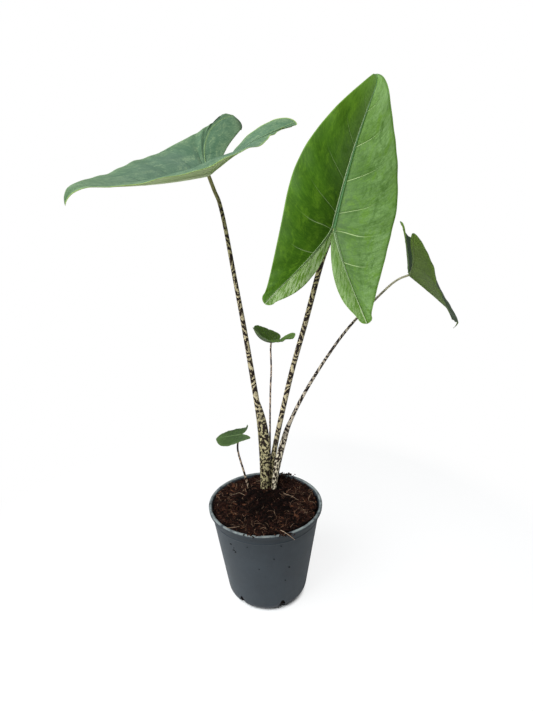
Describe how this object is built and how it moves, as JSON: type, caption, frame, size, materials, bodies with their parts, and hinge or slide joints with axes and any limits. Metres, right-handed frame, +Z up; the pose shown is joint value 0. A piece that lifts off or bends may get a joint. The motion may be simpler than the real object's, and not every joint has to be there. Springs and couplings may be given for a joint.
{
  "type": "potted aroid house plant",
  "caption": "Young aroid house plant in a round nursery pot, with arrow-shaped leaves on tall, slim, zebra-banded stalks that rise from a sheathed base.",
  "frame": {"origin": "middle of the pot's flat underside", "axes": "+Z up along the pot's axis, and the plant's best side faces -Y, with the tallest leaf a little to +X"},
  "size_m": [0.3797, 0.2984, 0.5196],
  "materials": {
    "pot_plastic": "satin dark grey moulded plastic, paler along the rim",
    "potting_soil": "loose dark brown bark and coir potting mix",
    "corm_skin": "rough brown papery skin",
    "banded_stalk": "smooth cream and olive with irregular dark brown bands",
    "leaf_blade": "satin green, paler veins and margin, pale underside"
  },
  "bodies": {
    "root": {"pot": "pot_plastic", "soil": "potting_soil", "corm": "corm_skin", "stalk_middle": "banded_stalk", "stalk_left": "banded_stalk", "stalk_right": "banded_stalk", "stalk_small_back": "banded_stalk", "stalk_small_left": "banded_stalk", "blade_middle": "leaf_blade", "blade_left": "leaf_blade", "blade_right": "leaf_blade", "blade_small_back": "leaf_blade", "blade_small_left": "leaf_blade"}
  },
  "joints": []
}
